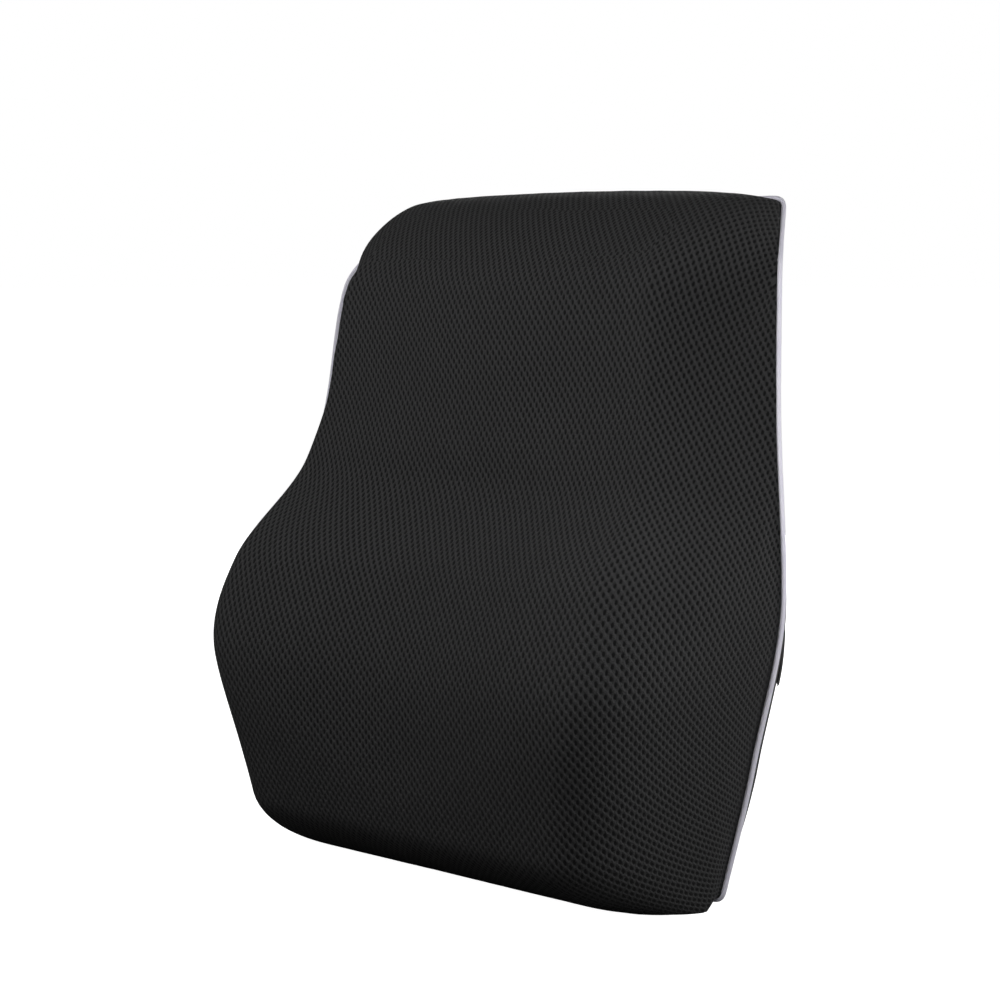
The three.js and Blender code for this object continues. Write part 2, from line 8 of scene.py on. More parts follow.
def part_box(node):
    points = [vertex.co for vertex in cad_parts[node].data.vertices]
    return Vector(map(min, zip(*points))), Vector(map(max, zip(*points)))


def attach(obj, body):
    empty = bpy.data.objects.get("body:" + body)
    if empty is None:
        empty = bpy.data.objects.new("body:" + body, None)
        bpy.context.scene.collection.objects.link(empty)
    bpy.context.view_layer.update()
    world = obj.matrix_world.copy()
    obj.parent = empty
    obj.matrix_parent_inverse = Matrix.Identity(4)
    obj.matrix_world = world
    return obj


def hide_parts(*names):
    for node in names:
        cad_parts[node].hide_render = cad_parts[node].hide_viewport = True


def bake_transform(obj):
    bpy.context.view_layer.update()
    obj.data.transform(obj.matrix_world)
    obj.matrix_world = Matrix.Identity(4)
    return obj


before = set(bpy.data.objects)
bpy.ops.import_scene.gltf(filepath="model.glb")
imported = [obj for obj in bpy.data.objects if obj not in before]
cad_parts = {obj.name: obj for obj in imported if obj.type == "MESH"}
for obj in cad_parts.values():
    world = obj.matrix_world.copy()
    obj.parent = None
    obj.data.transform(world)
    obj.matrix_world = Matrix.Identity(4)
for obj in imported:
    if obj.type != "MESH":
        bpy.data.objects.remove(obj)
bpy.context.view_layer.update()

# sizes of the cushion, in metres, and how its front, back and seam run from the base to the top
cushion = {
    "height": 0.328,
    "halfWidths": [(0, 0.1265), (0.2, 0.141), (0.45, 0.15725), (0.7, 0.1465), (0.87, 0.141), (1, 0.11675)],
    "seamPlaces": [(0, -0.0121), (0.2, -0.0086), (0.45, -0.0091), (0.7, -0.0002), (0.87, 0.0067),
                   (1, 0.0416)],
    "depths": [(0, 0.0733), (0.15, 0.0895), (0.3, 0.097), (0.45, 0.0824), (0.6, 0.047), (0.75, 0.040),
               (0.87, 0.0394), (1, 0.0465)],
    "dishes": [(0, 0), (0.15, 0.0033), (0.35, 0.011), (0.5, 0.011), (0.65, 0), (0.8, -0.004), (1, 0)],
    "fullness": [(0, 2.2), (0.3, 2.3), (0.5, 1.3), (0.7, 0.91), (0.85, 0.73), (1, 2.06)],
    "backSideRolls": [(0, 0.024), (0.15, 0.020), (0.27, 0.020), (0.42, 0.030), (0.65, 0.070), (1, 0.070)],
    "backDepth": 0.018,
    "sideRoll": 0.0413,
    "topRoll": 0.0393,
    "baseRoll": 0.0307,
    "baseFullness": 1.85,
    "backEndRoll": 0.060,
    "topCorner": 0.003,
    "baseCorner": 0.002,
    "seamBase": 0.0046,
    "seamDrop": 0.0067,
    "crownRise": 0.0091,
    "crownFall": 0.185,
    "crownReach": 0.0415,
    "toeDrop": 0.0088,
    "toeReach": 0.012,
    "toeFade": 0.050,
    "seamGap": 0.0005,
}
layers = {"meshThickness": 0.0025, "backThickness": 0.0015, "linerInset": 0.003, "linerThickness": 0.001,
          "foamInset": 0.0045}


def smoothCurve(points):
    # a curve through the points that never overshoots them
    xs = np.array([p[0] for p in points], float)
    ys = np.array([p[1] for p in points], float)
    rises = np.diff(ys) / np.diff(xs)
    slopes = np.empty(len(xs))
    slopes[0], slopes[-1] = rises[0], rises[-1]
    for i in range(1, len(xs) - 1):
        a, b = rises[i - 1], rises[i]
        slopes[i] = 0 if a * b <= 0 else 2 * a * b / (a + b)

    def value(place):
        place = np.asarray(place, float)
        i = np.clip(np.searchsorted(xs, place) - 1, 0, len(xs) - 2)
        span = xs[i + 1] - xs[i]
        t = (place - xs[i]) / span
        ease = t * t * (3 - 2 * t)
        out = t * (1 - t) * (1 - t)
        into = t * t * (t - 1)
        return ys[i] * (1 - ease) + ys[i + 1] * ease + span * (slopes[i] * out + slopes[i + 1] * into)

    return value


halfWidthAt = smoothCurve(cushion["halfWidths"])
seamAt = smoothCurve(cushion["seamPlaces"])
depthAt = smoothCurve(cushion["depths"])
dishAt = smoothCurve(cushion["dishes"])
fullnessAt = smoothCurve(cushion["fullness"])
backSideRollAt = smoothCurve(cushion["backSideRolls"])


def smoothStep(t):
    t = np.clip(t, 0, 1)
    return t * t * (3 - 2 * t)


def rollOff(t, fullness):
    return (1 - (1 - np.clip(t, 0, 1)) ** fullness) ** (1 / fullness)


def cornerTrim(distance, radius):
    t = np.clip(1 - distance / radius, 0, 1)
    return radius * (1 - np.sqrt(1 - t * t))


def halfOutline(up):
    trim = cornerTrim((1 - up) * cushion["height"], cushion["topCorner"])
    return halfWidthAt(up) - trim - cornerTrim(up * cushion["height"], cushion["baseCorner"])


seamSpan = cushion["height"] - cushion["seamDrop"] - cushion["seamBase"]
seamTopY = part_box("cover_front")[1][1]  # the front cover ends half a seam gap in front of the seam's top
shiftY = seamTopY - (cushion["seamPlaces"][-1][1] - cushion["seamGap"] / 2)


def shareUp(height):
    return (height - cushion["seamBase"]) / seamSpan


def seamLine(height):
    return seamAt(shareUp(height)) + shiftY


def frontPoints(across, up, inset):
    # points of the layer that lies inset under the outside, for arrays of places across and up
    fromSide = halfOutline(up) * (1 - np.abs(across))
    wing = smoothStep(np.abs(across) / 0.7)
    full = depthAt(up) - dishAt(up) * (1 - wing)
    depth = full * rollOff(fromSide / cushion["sideRoll"], fullnessAt(up))
    depth = depth * rollOff((1 - up) * cushion["height"] / cushion["topRoll"], 2)
    depth = depth * rollOff(up * cushion["height"] / cushion["baseRoll"], cushion["baseFullness"])
    depth = depth * (depthAt(up) - inset) / depthAt(up)
    swell = np.clip(depth / cushion["crownReach"], 0, 1)
    level = 1 - cushion["crownFall"] * smoothStep(np.abs(across))
    crown = cushion["crownRise"] * level * 4 * swell * (1 - swell) * smoothStep((up - 0.8) / 0.2)
    fade = 1 - smoothStep(up * cushion["height"] / cushion["toeFade"])
    toe = cushion["toeDrop"] * smoothStep(depth / cushion["toeReach"]) * fade
    height = cushion["seamBase"] + inset + up * (seamSpan - 2 * inset)
    x = across * (halfOutline(up) - inset)
    y = seamLine(height) - cushion["seamGap"] / 2 - depth
    z = np.maximum(inset, height + crown - toe)
    return np.stack([x, y, z], axis=-1)


def backPoints(across, up, inset):
    fromSide = halfOutline(up) * (1 - np.abs(across))
    bulge = cushion["backDepth"] * rollOff(fromSide / backSideRollAt(up), 2)
    bulge = bulge * rollOff((1 - up) * cushion["height"] / cushion["backEndRoll"], 2)
    bulge = bulge * rollOff(up * cushion["height"] / cushion["backEndRoll"], 2)
    bulge = bulge * (cushion["backDepth"] - inset) / cushion["backDepth"]
    height = cushion["seamBase"] + inset + up * (seamSpan - 2 * inset)
    x = across * (halfOutline(up) - inset)
    return np.stack([x, seamLine(height) + cushion["seamGap"] / 2 + bulge, height], axis=-1)


def backFace(x, z):
    up = shareUp(z)
    return backPoints(x / halfOutline(up), up, 0.0)[..., 1]


def backAt(x, z):
    return float(backFace(np.array(float(x)), np.array(float(z))))


def leanAt(height):
    step = 0.010
    return math.atan2(backAt(0, height + step) - backAt(0, height - step), 2 * step)


def backFrame(height):
    # a matrix whose Y points straight out of the back panel and whose Z runs up it
    return Matrix.Translation((0, backAt(0, height), height)) @ Matrix.Rotation(-leanAt(height), 4, "X")


def gridPlaces(columns, baseRows, middleRows, topRows):
    across = np.sin(np.linspace(-math.pi / 2, math.pi / 2, columns + 1))
    base = cushion["baseRoll"] / cushion["height"]
    top = cushion["topRoll"] / cushion["height"]
    rows = [base * (np.arange(baseRows) / baseRows) ** 2.4]
    rows.append(base + (1 - base - top) * np.arange(middleRows) / middleRows)
    rows.append(1 - top * (np.arange(topRows, -1, -1) / topRows) ** 2)
    return np.meshgrid(across, np.concatenate(rows))


def newMaterial(name):
    material = bpy.data.materials.new(name)
    material.use_nodes = True
    tree = material.node_tree
    shader = tree.nodes["Principled BSDF"]
    return material, tree, shader


def addNode(tree, kind, **values):
    node = tree.nodes.new(kind)
    for key, value in values.items():
        setattr(node, key, value)
    return node


def mathNode(tree, operation, a, b=None):
    node = addNode(tree, "ShaderNodeMath", operation=operation)
    for socket, value in zip(node.inputs, (a, b)):
        if value is None:
            continue
        if isinstance(value, (int, float)):
            socket.default_value = value
        else:
            tree.links.new(value, socket)
    return node.outputs[0]


def times(tree, a, b):
    return mathNode(tree, "MULTIPLY", a, b)


def plus(tree, a, b):
    return mathNode(tree, "ADD", a, b)


def mixColours(tree, factor, first, second):
    node = addNode(tree, "ShaderNodeMix", data_type="RGBA")
    for socket, value in ((node.inputs[0], factor), (node.inputs[6], first), (node.inputs[7], second)):
        if isinstance(value, (int, float)):
            socket.default_value = value
        elif isinstance(value, tuple):
            socket.default_value = (*value, 1)
        else:
            tree.links.new(value, socket)
    return node.outputs[2]


def rangeNode(tree, value, low, high, toLow=0.0, toHigh=1.0):
    node = addNode(tree, "ShaderNodeMapRange", interpolation_type="SMOOTHSTEP")
    tree.links.new(value, node.inputs[0])
    for socket, number in zip(node.inputs[1:5], (low, high, toLow, toHigh)):
        socket.default_value = number
    return node.outputs[0]


def noiseNode(tree, vector, scale, detail=3.0, roughness=0.5):
    node = addNode(tree, "ShaderNodeTexNoise")
    tree.links.new(vector, node.inputs["Vector"])
    node.inputs["Scale"].default_value = scale
    node.inputs["Detail"].default_value = detail
    node.inputs["Roughness"].default_value = roughness
    return node.outputs["Fac"]


def newGroup(name, inputs, outputs):
    tree = bpy.data.node_groups.new(name, "ShaderNodeTree")
    for label, kind, value in inputs:
        socket = tree.interface.new_socket(label, in_out="INPUT", socket_type=kind)
        if value is not None:
            socket.default_value = value
    for label, kind in outputs:
        tree.interface.new_socket(label, in_out="OUTPUT", socket_type=kind)
    return tree, tree.nodes.new("NodeGroupInput"), tree.nodes.new("NodeGroupOutput")


def bumpInto(tree, shader, height, distance, strength=1.0):
    bump = addNode(tree, "ShaderNodeBump")
    bump.inputs["Distance"].default_value = distance
    bump.inputs["Strength"].default_value = strength
    tree.links.new(height, bump.inputs["Height"])
    tree.links.new(bump.outputs[0], shader.inputs["Normal"])


def useGroup(tree, group, vector, **values):
    node = addNode(tree, "ShaderNodeGroup", node_tree=group)
    tree.links.new(vector, node.inputs["Vector"])
    for label, value in values.items():
        node.inputs[label].default_value = value
    return node


def makeAirMeshGroup():
    # staggered oval holes between knitted cords, from cloth coordinates in metres
    tree, given, made = newGroup(
        "airMeshKnit",
        [("Vector", "NodeSocketVector", None), ("Wide", "NodeSocketFloat", 0.00375),
         ("Tall", "NodeSocketFloat", 0.0047), ("HoleWide", "NodeSocketFloat", 0.00066),
         ("HoleTall", "NodeSocketFloat", 0.00120), ("Drift", "NodeSocketFloat", 0.0008)],
        [("Holes", "NodeSocketFloat"), ("Height", "NodeSocketFloat"), ("Strands", "NodeSocketFloat")],
    )
    vector = given.outputs["Vector"]
    split = addNode(tree, "ShaderNodeSeparateXYZ")
    tree.links.new(vector, split.inputs[0])
    drift = noiseNode(tree, vector, 110.0, 3.0)  # the knit isn't perfectly even
    shift = times(tree, mathNode(tree, "SUBTRACT", drift, 0.5), given.outputs["Drift"])
    u = plus(tree, split.outputs[0], shift)
    v = plus(tree, split.outputs[1], times(tree, shift, -0.7))
    across = mathNode(tree, "DIVIDE", u, given.outputs["Wide"])
    up = mathNode(tree, "DIVIDE", v, given.outputs["Tall"])
    distances = []
    for offset in (0.0, 0.5):
        parts = []
        for value, pitch, hole in ((across, "Wide", "HoleWide"), (up, "Tall", "HoleTall")):
            cell = plus(tree, value, offset)
            local = mathNode(tree, "SUBTRACT", mathNode(tree, "FRACT", cell), 0.5)
            size = mathNode(tree, "DIVIDE", given.outputs[pitch], given.outputs[hole])
            far = mathNode(tree, "ABSOLUTE", times(tree, local, size))
            parts.append(mathNode(tree, "POWER", far, 2.0))
        distances.append(mathNode(tree, "SQRT", plus(tree, parts[0], parts[1])))
    fine = noiseNode(tree, vector, 1500.0, 3.0, 0.65)
    near = mathNode(tree, "MINIMUM", distances[0], distances[1])
    near = plus(tree, near, times(tree, mathNode(tree, "SUBTRACT", fine, 0.5), 1.3))
    holes = rangeNode(tree, near, 0.75, 1.2, 1.0, 0.0)
    ridge = rangeNode(tree, near, 0.7, 2.1)
    # cords that lean one way stand proud of those that lean the other way; through Strands they are also
    # painted paler, a painted highlight on one diagonal of cords
    leaning = mathNode(tree, "SINE", times(tree, plus(tree, across, up), math.pi))
    leaning = mathNode(tree, "ABSOLUTE", leaning)
    leaning = mathNode(tree, "POWER", leaning, 1.6)
    lines = mathNode(tree, "SUBTRACT", times(tree, u, 0.8), v)
    lines = mathNode(tree, "SINE", times(tree, lines, 2 * math.pi / 0.00062))
    # Strands mixes a painted highlight on the leaning cords with random thread tone and fine yarn lines
    strands = plus(tree, times(tree, leaning, 0.40), times(tree, fine, 0.85))
    strands = plus(tree, strands, times(tree, lines, 0.12))
    height = times(tree, ridge, plus(tree, times(tree, strands, 0.5), 0.5))
    tree.links.new(holes, made.inputs["Holes"])
    tree.links.new(height, made.inputs["Height"])
    tree.links.new(strands, made.inputs["Strands"])
    return tree


def makeRibGroup():
    # ribs along the cloth with threads across them, for elastic, tape and fine knit, with a mask of the
    # valleys between ribs where shade is painted
    tree, given, made = newGroup(
        "ribbedWeave",
        [("Vector", "NodeSocketVector", None), ("RibPitch", "NodeSocketFloat", 0.0016),
         ("ThreadPitch", "NodeSocketFloat", 0.0007)],
        [("Height", "NodeSocketFloat"), ("shadedValleys", "NodeSocketFloat")],
    )
    split = addNode(tree, "ShaderNodeSeparateXYZ")
    tree.links.new(given.outputs["Vector"], split.inputs[0])
    waves = []
    for output, pitch in ((1, "RibPitch"), (0, "ThreadPitch")):
        turns = mathNode(tree, "DIVIDE", split.outputs[output], given.outputs[pitch])
        waves.append(mathNode(tree, "SINE", times(tree, turns, 2 * math.pi)))
    rib = mathNode(tree, "POWER", mathNode(tree, "ABSOLUTE", waves[0]), 0.6)
    thread = plus(tree, times(tree, waves[1], 0.5), 0.5)
    height = times(tree, rib, plus(tree, times(tree, thread, 0.35), 0.65))
    tree.links.new(height, made.inputs["Height"])
    tree.links.new(rangeNode(tree, height, 0.0, 0.45, 1.0, 0.0), made.inputs["shadedValleys"])
    return tree


airMeshGroup = makeAirMeshGroup()
ribGroup = makeRibGroup()


def uvOutput(tree):
    node = addNode(tree, "ShaderNodeUVMap", uv_map="cloth")
    return node.outputs[0]


def objectOutput(tree):
    return addNode(tree, "ShaderNodeTexCoord").outputs["Object"]


# the hole colour is painted shade, standing in for the dark seen through the openings of the mesh
meshCloth = {"thread": (0.011, 0.011, 0.0113), "paleAndHighlitThread": (0.046, 0.046, 0.047),
             "hole": (0.0015, 0.0015, 0.0018), "roughness": 0.75, "bump": 0.0009}


def makeMeshCloth():
    material, tree, shader = newMaterial("airMeshCloth")
    vector = uvOutput(tree)
    knit = useGroup(tree, airMeshGroup, vector)
    patches = noiseNode(tree, vector, 24.0, 3.0)
    # painted highlight: the thread is painted paler where the Strands are high, partly on the leaning
    # cords, partly as random thread tone
    lift = rangeNode(tree, knit.outputs["Strands"], 0.25, 1.0)
    thread = mixColours(tree, lift, meshCloth["thread"], meshCloth["paleAndHighlitThread"])
    worn = mixColours(tree, times(tree, patches, 0.25), thread, meshCloth["thread"])
    # painted shade: the holes are painted near-black for the dark seen through the openings
    colour = mixColours(tree, knit.outputs["Holes"], worn, meshCloth["hole"])
    tree.links.new(colour, shader.inputs["Base Color"])
    rough = plus(tree, times(tree, knit.outputs["Holes"], 0.2), meshCloth["roughness"])
    tree.links.new(rough, shader.inputs["Roughness"])
    shader.inputs["Specular IOR Level"].default_value = 0.25
    shader.inputs["Sheen Weight"].default_value = 0.05
    shader.inputs["Sheen Roughness"].default_value = 0.5
    bumpInto(tree, shader, knit.outputs["Height"], meshCloth["bump"], 0.9)
    return material


def makeRibCloth(name, low, high, ribPitch, threadPitch, bump, roughness):
    material, tree, shader = newMaterial(name)
    vector = uvOutput(tree)
    weave = useGroup(tree, ribGroup, vector, RibPitch=ribPitch, ThreadPitch=threadPitch)
    patches = noiseNode(tree, vector, 60.0, 4.0)
    body = mixColours(tree, times(tree, rangeNode(tree, patches, 0.2, 0.8), 0.45), low, high)
    # painted shade: the valleys between the ribs are painted darker than the cloth
    valleyShade = tuple(v * 0.35 for v in low)
    tree.links.new(mixColours(tree, weave.outputs["shadedValleys"], body, valleyShade), shader.inputs["Base Color"])
    grain = plus(tree, times(tree, patches, 0.12), roughness - 0.06)
    tree.links.new(grain, shader.inputs["Roughness"])
    shader.inputs["Specular IOR Level"].default_value = 0.25
    shader.inputs["Sheen Weight"].default_value = 0.1
    bumpInto(tree, shader, weave.outputs["Height"], bump)
    return material


def makePipingCloth():
    material, tree, shader = newMaterial("pipingCloth")
    vector = uvOutput(tree)
    weave = useGroup(tree, ribGroup, vector, RibPitch=0.0006, ThreadPitch=0.0006)
    soil = noiseNode(tree, vector, 45.0, 4.0)
    body = mixColours(tree, rangeNode(tree, soil, 0.3, 0.75), (0.90, 0.88, 0.97), (0.82, 0.80, 0.92))
    # painted shade: the valleys of the weave are painted greyer
    colour = mixColours(tree, times(tree, weave.outputs["shadedValleys"], 0.35), body, (0.55, 0.52, 0.66))
    tree.links.new(colour, shader.inputs["Base Color"])
    tree.links.new(plus(tree, times(tree, soil, 0.15), 0.5), shader.inputs["Roughness"])
    shader.inputs["Sheen Weight"].default_value = 0.5
    bumpInto(tree, shader, weave.outputs["Height"], 0.00008)
    return material


def makePlastic():
    # moulded black plastic with a fine grain
    material, tree, shader = newMaterial("bucklePlastic")
    vector = objectOutput(tree)
    grain = noiseNode(tree, vector, 2600.0, 2.0)
    broad = noiseNode(tree, vector, 70.0, 4.0)
    body = mixColours(tree, broad, (0.021, 0.021, 0.022), (0.024, 0.024, 0.025))
    tree.links.new(body, shader.inputs["Base Color"])
    tree.links.new(rangeNode(tree, broad, 0.2, 0.8, 0.42, 0.47), shader.inputs["Roughness"])
    bumpInto(tree, shader, grain, 0.00003, 0.5)
    return material


def makeZipMetal():
    material, tree, shader = newMaterial("zipMetal")
    vector = objectOutput(tree)
    broad = noiseNode(tree, vector, 240.0, 4.0)
    edges = addNode(tree, "ShaderNodeNewGeometry").outputs["Pointiness"]
    worn = rangeNode(tree, edges, 0.52, 0.6)
    body = mixColours(tree, broad, (0.035, 0.035, 0.038), (0.075, 0.075, 0.08))
    tree.links.new(mixColours(tree, worn, body, (0.34, 0.33, 0.32)), shader.inputs["Base Color"])
    tree.links.new(rangeNode(tree, broad, 0.2, 0.8, 0.26, 0.42), shader.inputs["Roughness"])
    shader.inputs["Metallic"].default_value = 0.9
    bumpInto(tree, shader, broad, 0.00003, 0.4)
    return material


def makeCoilNylon():
    material, tree, shader = newMaterial("coilNylon")
    broad = noiseNode(tree, objectOutput(tree), 500.0, 3.0)
    body = mixColours(tree, broad, (0.012, 0.012, 0.013), (0.03, 0.03, 0.032))
    tree.links.new(body, shader.inputs["Base Color"])
    tree.links.new(rangeNode(tree, broad, 0.2, 0.8, 0.28, 0.42), shader.inputs["Roughness"])
    return material


def makeFoam():
    # open cells of moulded foam, with painted shade in the pits of the cells
    material, tree, shader = newMaterial("memoryFoam")
    vector = objectOutput(tree)
    cells = addNode(tree, "ShaderNodeTexVoronoi")
    tree.links.new(vector, cells.inputs["Vector"])
    cells.inputs["Scale"].default_value = 900.0
    pits = rangeNode(tree, cells.outputs["Distance"], 0.0, 0.6)
    broad = noiseNode(tree, vector, 30.0, 4.0)
    body = mixColours(tree, broad, (0.83, 0.75, 0.50), (0.88, 0.81, 0.60))
    # painted shade: the pits of the cells are painted darker
    tree.links.new(mixColours(tree, pits, (0.55, 0.47, 0.27), body), shader.inputs["Base Color"])
    tree.links.new(rangeNode(tree, broad, 0.0, 1.0, 0.85, 0.98), shader.inputs["Roughness"])
    bumpInto(tree, shader, pits, 0.0003)
    return material


# for each ribbed cloth: its name, low and high colours, rib and thread pitch, bump and roughness
ribCloths = {
    "back": ("backKnit", (0.017, 0.017, 0.018), (0.024, 0.024, 0.025), 0.0011, 0.0009, 0.00018, 0.85),
    "webbing": ("elasticWebbing", (0.03, 0.03, 0.031), (0.04, 0.04, 0.041), 0.0019, 0.0006, 0.0003, 0.85),
    "tape": ("zipTape", (0.010, 0.010, 0.011), (0.016, 0.016, 0.017), 0.0008, 0.0005, 0.00012, 0.85),
    "liner": ("linerJersey", (0.66, 0.66, 0.64), (0.74, 0.74, 0.72), 0.0010, 0.0008, 0.0001, 0.85),
    "label": ("labelSatin", (0.80, 0.80, 0.77), (0.86, 0.86, 0.84), 0.0004, 0.0002, 0.00004, 0.5),
    "stitch": ("sewingThread", (0.02, 0.02, 0.021), (0.035, 0.035, 0.036), 0.0004, 0.0003, 0.00005, 0.85),
}
finishes = {"mesh": makeMeshCloth()}
finishes.update({finish: makeRibCloth(*values) for finish, values in ribCloths.items()})
finishes.update(piping=makePipingCloth(), plastic=makePlastic(), metal=makeZipMetal(), coil=makeCoilNylon(),
                foam=makeFoam())
print("materials made")


def addPiece(name, points, faces, uvs, finish):
    mesh = bpy.data.meshes.new(name)
    mesh.from_pydata([tuple(p) for p in points], [], faces)
    if uvs is not None:
        layer = mesh.uv_layers.new(name="cloth")
        indices = np.empty(len(mesh.loops), dtype=np.int32)
        mesh.loops.foreach_get("vertex_index", indices)
        layer.data.foreach_set("uv", np.asarray(uvs, np.float32)[indices].ravel())
    mesh.materials.append(finishes[finish])
    piece = bpy.data.objects.new(name, mesh)
    bpy.context.scene.collection.objects.link(piece)
    mesh.polygons.foreach_set("use_smooth", [True] * len(mesh.polygons))
    mesh.update()
    return piece


def tubeFaces(rings, sides, first=0, closed=False):
    # quads between rings of points, with flat ends unless the last ring meets the first
    faces = []
    for i in range(rings if closed else rings - 1):
        here, after = first + i * sides, first + (i + 1) % rings * sides
        for k in range(sides):
            m = (k + 1) % sides
            faces.append((here + k, here + m, after + m, after + k))
    if not closed:
        faces.append(tuple(first + k for k in range(sides - 1, -1, -1)))
        faces.append(tuple(first + (rings - 1) * sides + k for k in range(sides)))
    return faces


def place(piece, body, slot, *nodes):
    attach(piece, body)
    if nodes:
        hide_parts(*nodes)
    return piece


def selectOnly(piece):
    bpy.ops.object.select_all(action="DESELECT")
    piece.select_set(True)
    bpy.context.view_layer.objects.active = piece


def applyModifiers(piece):
    selectOnly(piece)
    for modifier in list(piece.modifiers):
        bpy.ops.object.modifier_apply(modifier=modifier.name)


def editWhole(piece, step, **values):
    selectOnly(piece)
    bpy.ops.object.mode_set(mode="EDIT")
    bpy.ops.mesh.select_all(action="SELECT")
    step(**values)
    bpy.ops.object.mode_set(mode="OBJECT")


def turnOutwards(piece):
    editWhole(piece, bpy.ops.mesh.normals_make_consistent, inside=False)


def addBlock(name, matrix):
    # a unit cube put where the matrix says
    bpy.ops.mesh.primitive_cube_add(size=1)
    block = bpy.context.object
    block.name = name
    block.data.transform(matrix)
    return block


def arcLengths(points):
    # cloth coordinates: lengths along each row from its middle, and up each column from the middle row
    alongRows = np.linalg.norm(np.diff(points, axis=1), axis=2)
    u = np.concatenate([np.zeros((points.shape[0], 1)), np.cumsum(alongRows, axis=1)], axis=1)
    u = u - u[:, points.shape[1] // 2][:, None]
    upColumns = np.linalg.norm(np.diff(points, axis=0), axis=2)
    v = np.concatenate([np.zeros((1, points.shape[1])), np.cumsum(upColumns, axis=0)], axis=0)
    v = v - v[points.shape[0] // 2, :][None, :]
    return np.stack([u, v], axis=-1)


def evenCloth(points):
    # cloth coordinates of a panel laid flat with as little stretch as possible, up staying up
    rows, columns = points.shape[:2]
    start = arcLengths(points)
    quads = gridQuads(rows, columns).tolist()
    sample = addPiece("flatSample", points.reshape(-1, 3), quads, start.reshape(-1, 2), "mesh")
    editWhole(sample, bpy.ops.uv.unwrap, method="MINIMUM_STRETCH", iterations=8, margin=0.001)
    layer = sample.data.uv_layers["cloth"]
    flat = np.empty(len(sample.data.loops) * 2)
    layer.data.foreach_get("uv", flat)
    corners = np.empty(len(sample.data.loops), dtype=np.int32)
    sample.data.loops.foreach_get("vertex_index", corners)
    cloth = np.empty((rows * columns, 2))
    cloth[corners] = flat.reshape(-1, 2)
    bpy.data.objects.remove(sample, do_unlink=True)
    cloth = cloth.reshape(rows, columns, 2)
    # turned, mirrored if need be, and scaled so it matches the lengths measured on the cushion
    a = cloth - cloth[rows // 2, columns // 2]
    b = start - start[rows // 2, columns // 2]
    full = (a[..., 0] + 1j * a[..., 1]).ravel()
    wanted = (b[..., 0] + 1j * b[..., 1]).ravel()
    fits = []
    for candidate in (full, np.conj(full)):
        turn = np.vdot(candidate, wanted) / np.vdot(candidate, candidate)
        fits.append((np.abs(candidate * turn - wanted).sum(), candidate * turn))
    best = min(fits, key=lambda fit: fit[0])[1].reshape(rows, columns)
    return np.stack([best.real, best.imag], axis=-1)


def gridRim(rows, columns):
    rim = [(0, c) for c in range(columns - 1)]
    rim += [(r, columns - 1) for r in range(rows - 1)]
    rim += [(rows - 1, c) for c in range(columns - 1, 0, -1)]
    rim += [(r, 0) for r in range(rows - 1, 0, -1)]
    return rim


def gridQuads(rows, columns):
    index = np.arange(rows * columns).reshape(rows, columns)
    corners = (index[:-1, :-1], index[:-1, 1:], index[1:, 1:], index[1:, :-1])
    return np.stack(corners, axis=-1).reshape(-1, 4)


def shellPiece(name, front, rear, finish, cloth=None):
    # a closed solid between two grids of points; the first faces the front
    cloth = arcLengths(front) if cloth is None else cloth
    rows, columns = front.shape[:2]
    count = rows * columns
    quads = gridQuads(rows, columns)
    faces = quads.tolist() + (quads[:, [0, 3, 2, 1]] + count).tolist()
    rim = [r * columns + c for r, c in gridRim(rows, columns)]
    for i, here in enumerate(rim):
        after = rim[(i + 1) % len(rim)]
        faces.append((here, count + here, count + after, after))
    points = np.concatenate([front.reshape(-1, 3), rear.reshape(-1, 3)])
    uvs = np.concatenate([cloth.reshape(-1, 2), cloth.reshape(-1, 2)])
    return addPiece(name, points, faces, uvs, finish)


def gridNormals(points):
    alongRow = np.gradient(points, axis=1)
    upColumn = np.gradient(points, axis=0)
    normals = np.cross(alongRow, upColumn)
    return normals / np.maximum(np.linalg.norm(normals, axis=2, keepdims=True), 1e-12)


# the front cover is mesh pulled over the foam
# each grid is columns, then rows at the base, in the middle and at the top
coverCloth = {"grid": (150, 30, 96, 30), "simGrid": (44, 8, 30, 8), "simFrames": 18, "pressure": 2.0,
              "mostMove": 0.0012, "pucker": 0.00022, "puckerReach": 0.007, "wave": 0.0005}


def settleCloth(across, up):
    # the cover is blown and sags a little over the foam: returns how far each point of a coarse grid moves
    points = frontPoints(across, up, 0.0)
    rows, columns = points.shape[:2]
    quads = gridQuads(rows, columns).tolist()
    sample = addPiece("clothSample", points.reshape(-1, 3), quads, None, "mesh")
    pins = sample.vertex_groups.new(name="sewn")
    pins.add([r * columns + c for r, c in gridRim(rows, columns)], 1.0, "REPLACE")
    cloth = sample.modifiers.new("cloth", "CLOTH")
    cloth.settings.vertex_group_mass = "sewn"
    cloth.settings.use_pressure = True
    cloth.settings.uniform_pressure_force = coverCloth["pressure"]
    cloth.settings.effector_weights.gravity = 0.3
    cloth.settings.tension_stiffness = 40
    cloth.settings.compression_stiffness = 40
    cloth.settings.shear_stiffness = 20
    cloth.settings.bending_stiffness = 5
    cloth.settings.air_damping = 4
    cloth.collision_settings.use_collision = False
    scene = bpy.context.scene
    for step in range(1, coverCloth["simFrames"] + 1):
        scene.frame_set(step)
    settled = sample.evaluated_get(bpy.context.evaluated_depsgraph_get()).to_mesh()
    moved = np.empty(len(settled.vertices) * 3)
    settled.vertices.foreach_get("co", moved)
    scene.frame_set(1)
    bpy.data.objects.remove(sample, do_unlink=True)
    move = moved.reshape(rows, columns, 3) - points
    size = np.linalg.norm(move, axis=2, keepdims=True)
    return move * np.minimum(1, coverCloth["mostMove"] / np.maximum(size, 1e-9))


